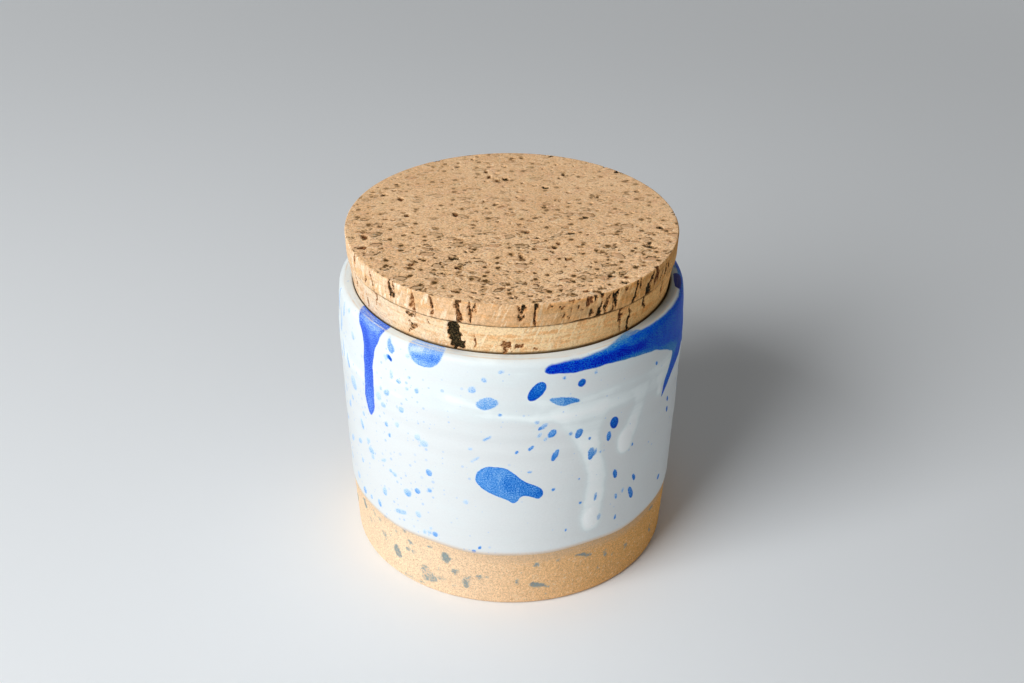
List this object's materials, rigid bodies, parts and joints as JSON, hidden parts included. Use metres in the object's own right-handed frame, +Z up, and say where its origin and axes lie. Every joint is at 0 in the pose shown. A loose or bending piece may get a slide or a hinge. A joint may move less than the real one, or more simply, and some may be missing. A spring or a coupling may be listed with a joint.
{
  "type": "salt jar",
  "caption": "Round stoneware salt jar, glazed white with blue splashes above a bare clay band, closed with a laminated cork lid.",
  "frame": {"origin": "centre of the foot, on the surface the jar stands on", "axes": "+Z up along the jar's axis, -Y towards the shown side, +X to its right"},
  "size_m": [0.088, 0.088, 0.0879],
  "materials": {
    "glazed_stoneware": "semi-gloss white glaze with cobalt blue splashes",
    "bare_clay": "matt unglazed stoneware with fine grain",
    "cork": "natural cork, cut and sanded"
  },
  "bodies": {
    "root": {"stoneware_jar": "glazed_stoneware", "cork_plug": "cork", "cork_cap": "cork"}
  },
  "joints": []
}
